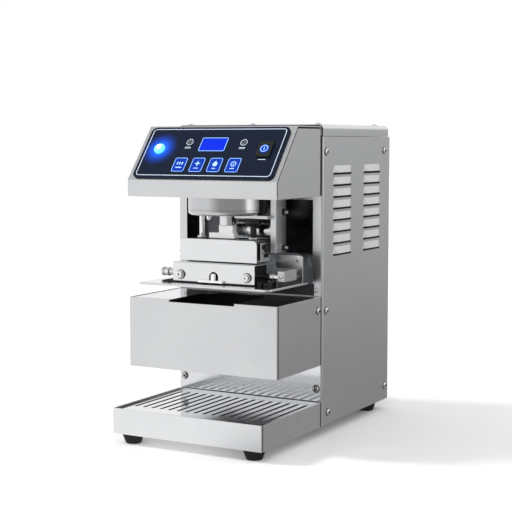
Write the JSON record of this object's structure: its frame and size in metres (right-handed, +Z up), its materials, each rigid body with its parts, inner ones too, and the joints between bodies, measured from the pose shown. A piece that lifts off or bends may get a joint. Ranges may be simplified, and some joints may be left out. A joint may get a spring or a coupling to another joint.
{
  "type": "cup sealing machine",
  "caption": "Counter-top cup sealing machine with a heated press head over a jaw, a slotted cup box, a drip tray and a push-button panel.",
  "frame": {"origin": "centre of the machine's footprint, on the floor", "axes": "+X to the operator's right, +Y from the operator to the back, +Z up"},
  "size_m": [0.228, 0.3808, 0.4143],
  "materials": {
    "stainless": "brushed stainless sheet",
    "polished": "polished steel",
    "aluminium": "machined aluminium",
    "rubber": "black rubber",
    "black_plastic": "black moulded plastic",
    "black_steel": "black oxide steel",
    "white_plastic": "white engineering plastic",
    "panel": "dark printed laminate",
    "blue": "lit blue lens",
    "lens": "smoked lens",
    "film": "clear sealing film on a roll",
    "board": "circuit board"
  },
  "bodies": {
    "machine": {"arm_block": "aluminium", "arm_rail": "black_steel", "back_panel": "stainless", "base_plate": "stainless", "clamp_block": "black_steel", "clamp_cover": "stainless", "control_board": "board", "control_panel": "panel", "cover_screw_1": "stainless", "cover_screw_2": "stainless", "cover_screw_3": "stainless", "cover_screw_4": "stainless", "cup_box": "stainless", "display_window": "blue", "drive_housing": "polished", "fan_frame": "black_plastic", "film_spindle": "stainless", "foot_front_left": "rubber", "foot_front_right": "rubber", "foot_rear_left": "rubber", "foot_rear_right": "rubber", "front_frame": "stainless", "guide_bush": "black_plastic", "hanger_bracket": "stainless", "hood_floor": "stainless", "hood_shell": "stainless", "indicator_left": "lens", "indicator_right": "lens", "lower_panel": "polished", "power_inlet": "black_plastic", "power_supply": "aluminium", "press_motor": "aluminium", "recess_liner": "polished", "rubber_strip": "rubber", "sensor_post": "white_plastic", "side_panel_left": "stainless", "side_panel_right": "stainless", "stay_bracket": "stainless", "switch_bezel": "black_plastic", "table_plate": "polished", "top_cover": "stainless", "tray_body": "stainless"},
    "press_head": {"ram": "polished", "guide_rod_left": "polished", "guide_rod_right": "black_steel", "insulator_block": "white_plastic", "heater_block": "aluminium", "heater_cover": "stainless"},
    "screw": {"lead_screw": "polished"},
    "roller": {"film_roller": "polished"},
    "shaft": {"draw_shaft": "polished"},
    "roll": {"film_roll": "film"},
    "rotor": {"fan_rotor": "black_plastic"},
    "key_1": {"key_1": "blue"},
    "key_2": {"key_2": "blue"},
    "key_3": {"key_3": "blue"},
    "key_4": {"key_4": "blue"},
    "start": {"start_button": "blue"},
    "power": {"switch_cap": "blue"},
    "grille": {"drip_grille": "polished"}
  },
  "joints": [
    {"name": "press_slide", "type": "slide", "parent": "machine", "child": "press_head", "axis": [0, 0, 1], "range_m": [0, 0.01]},
    {"name": "screw_spin", "type": "hinge", "parent": "machine", "child": "screw", "pos_m": [0, -0.08365, 0.3], "axis": [0, 0, 1], "range_deg": [0, 450.1]},
    {"name": "film_roller_spin", "type": "hinge", "parent": "machine", "child": "roller", "pos_m": [0.03, -0.05815, 0.2738], "axis": [1, 0, 0], "continuous": true},
    {"name": "draw_shaft_spin", "type": "hinge", "parent": "machine", "child": "shaft", "pos_m": [0, -0.09615, 0.217], "axis": [1, 0, 0], "continuous": true},
    {"name": "film_roll_spin", "type": "hinge", "parent": "machine", "child": "roll", "pos_m": [0, 0.06685, 0.2285], "axis": [1, 0, 0], "continuous": true},
    {"name": "fan_spin", "type": "hinge", "parent": "machine", "child": "rotor", "pos_m": [-0.045, 0.17365, 0.3135], "axis": [0, 1, 0], "continuous": true},
    {"name": "key_1_press", "type": "slide", "parent": "machine", "child": "key_1", "axis": [0, 0.778, -0.6283], "range_m": [0, 0.0006], "stiffness_N_per_m": 800},
    {"name": "key_2_press", "type": "slide", "parent": "machine", "child": "key_2", "axis": [0, 0.778, -0.6283], "range_m": [0, 0.0006], "stiffness_N_per_m": 800},
    {"name": "key_3_press", "type": "slide", "parent": "machine", "child": "key_3", "axis": [0, 0.778, -0.6283], "range_m": [0, 0.0006], "stiffness_N_per_m": 800},
    {"name": "key_4_press", "type": "slide", "parent": "machine", "child": "key_4", "axis": [0, 0.778, -0.6283], "range_m": [0, 0.0006], "stiffness_N_per_m": 800},
    {"name": "start_press", "type": "slide", "parent": "machine", "child": "start", "axis": [0, 0.778, -0.6283], "range_m": [0, 0.002], "stiffness_N_per_m": 600},
    {"name": "power_press", "type": "slide", "parent": "machine", "child": "power", "axis": [0, 0.778, -0.6283], "range_m": [0, 0.002], "stiffness_N_per_m": 600},
    {"name": "grille_lift", "type": "slide", "parent": "machine", "child": "grille", "axis": [0, 0, 1], "range_m": [0, 0.04]}
  ],
  "couplings": [
    {"joint": "screw_spin", "follows": "press_slide", "rad_per_m": 785.4}
  ]
}
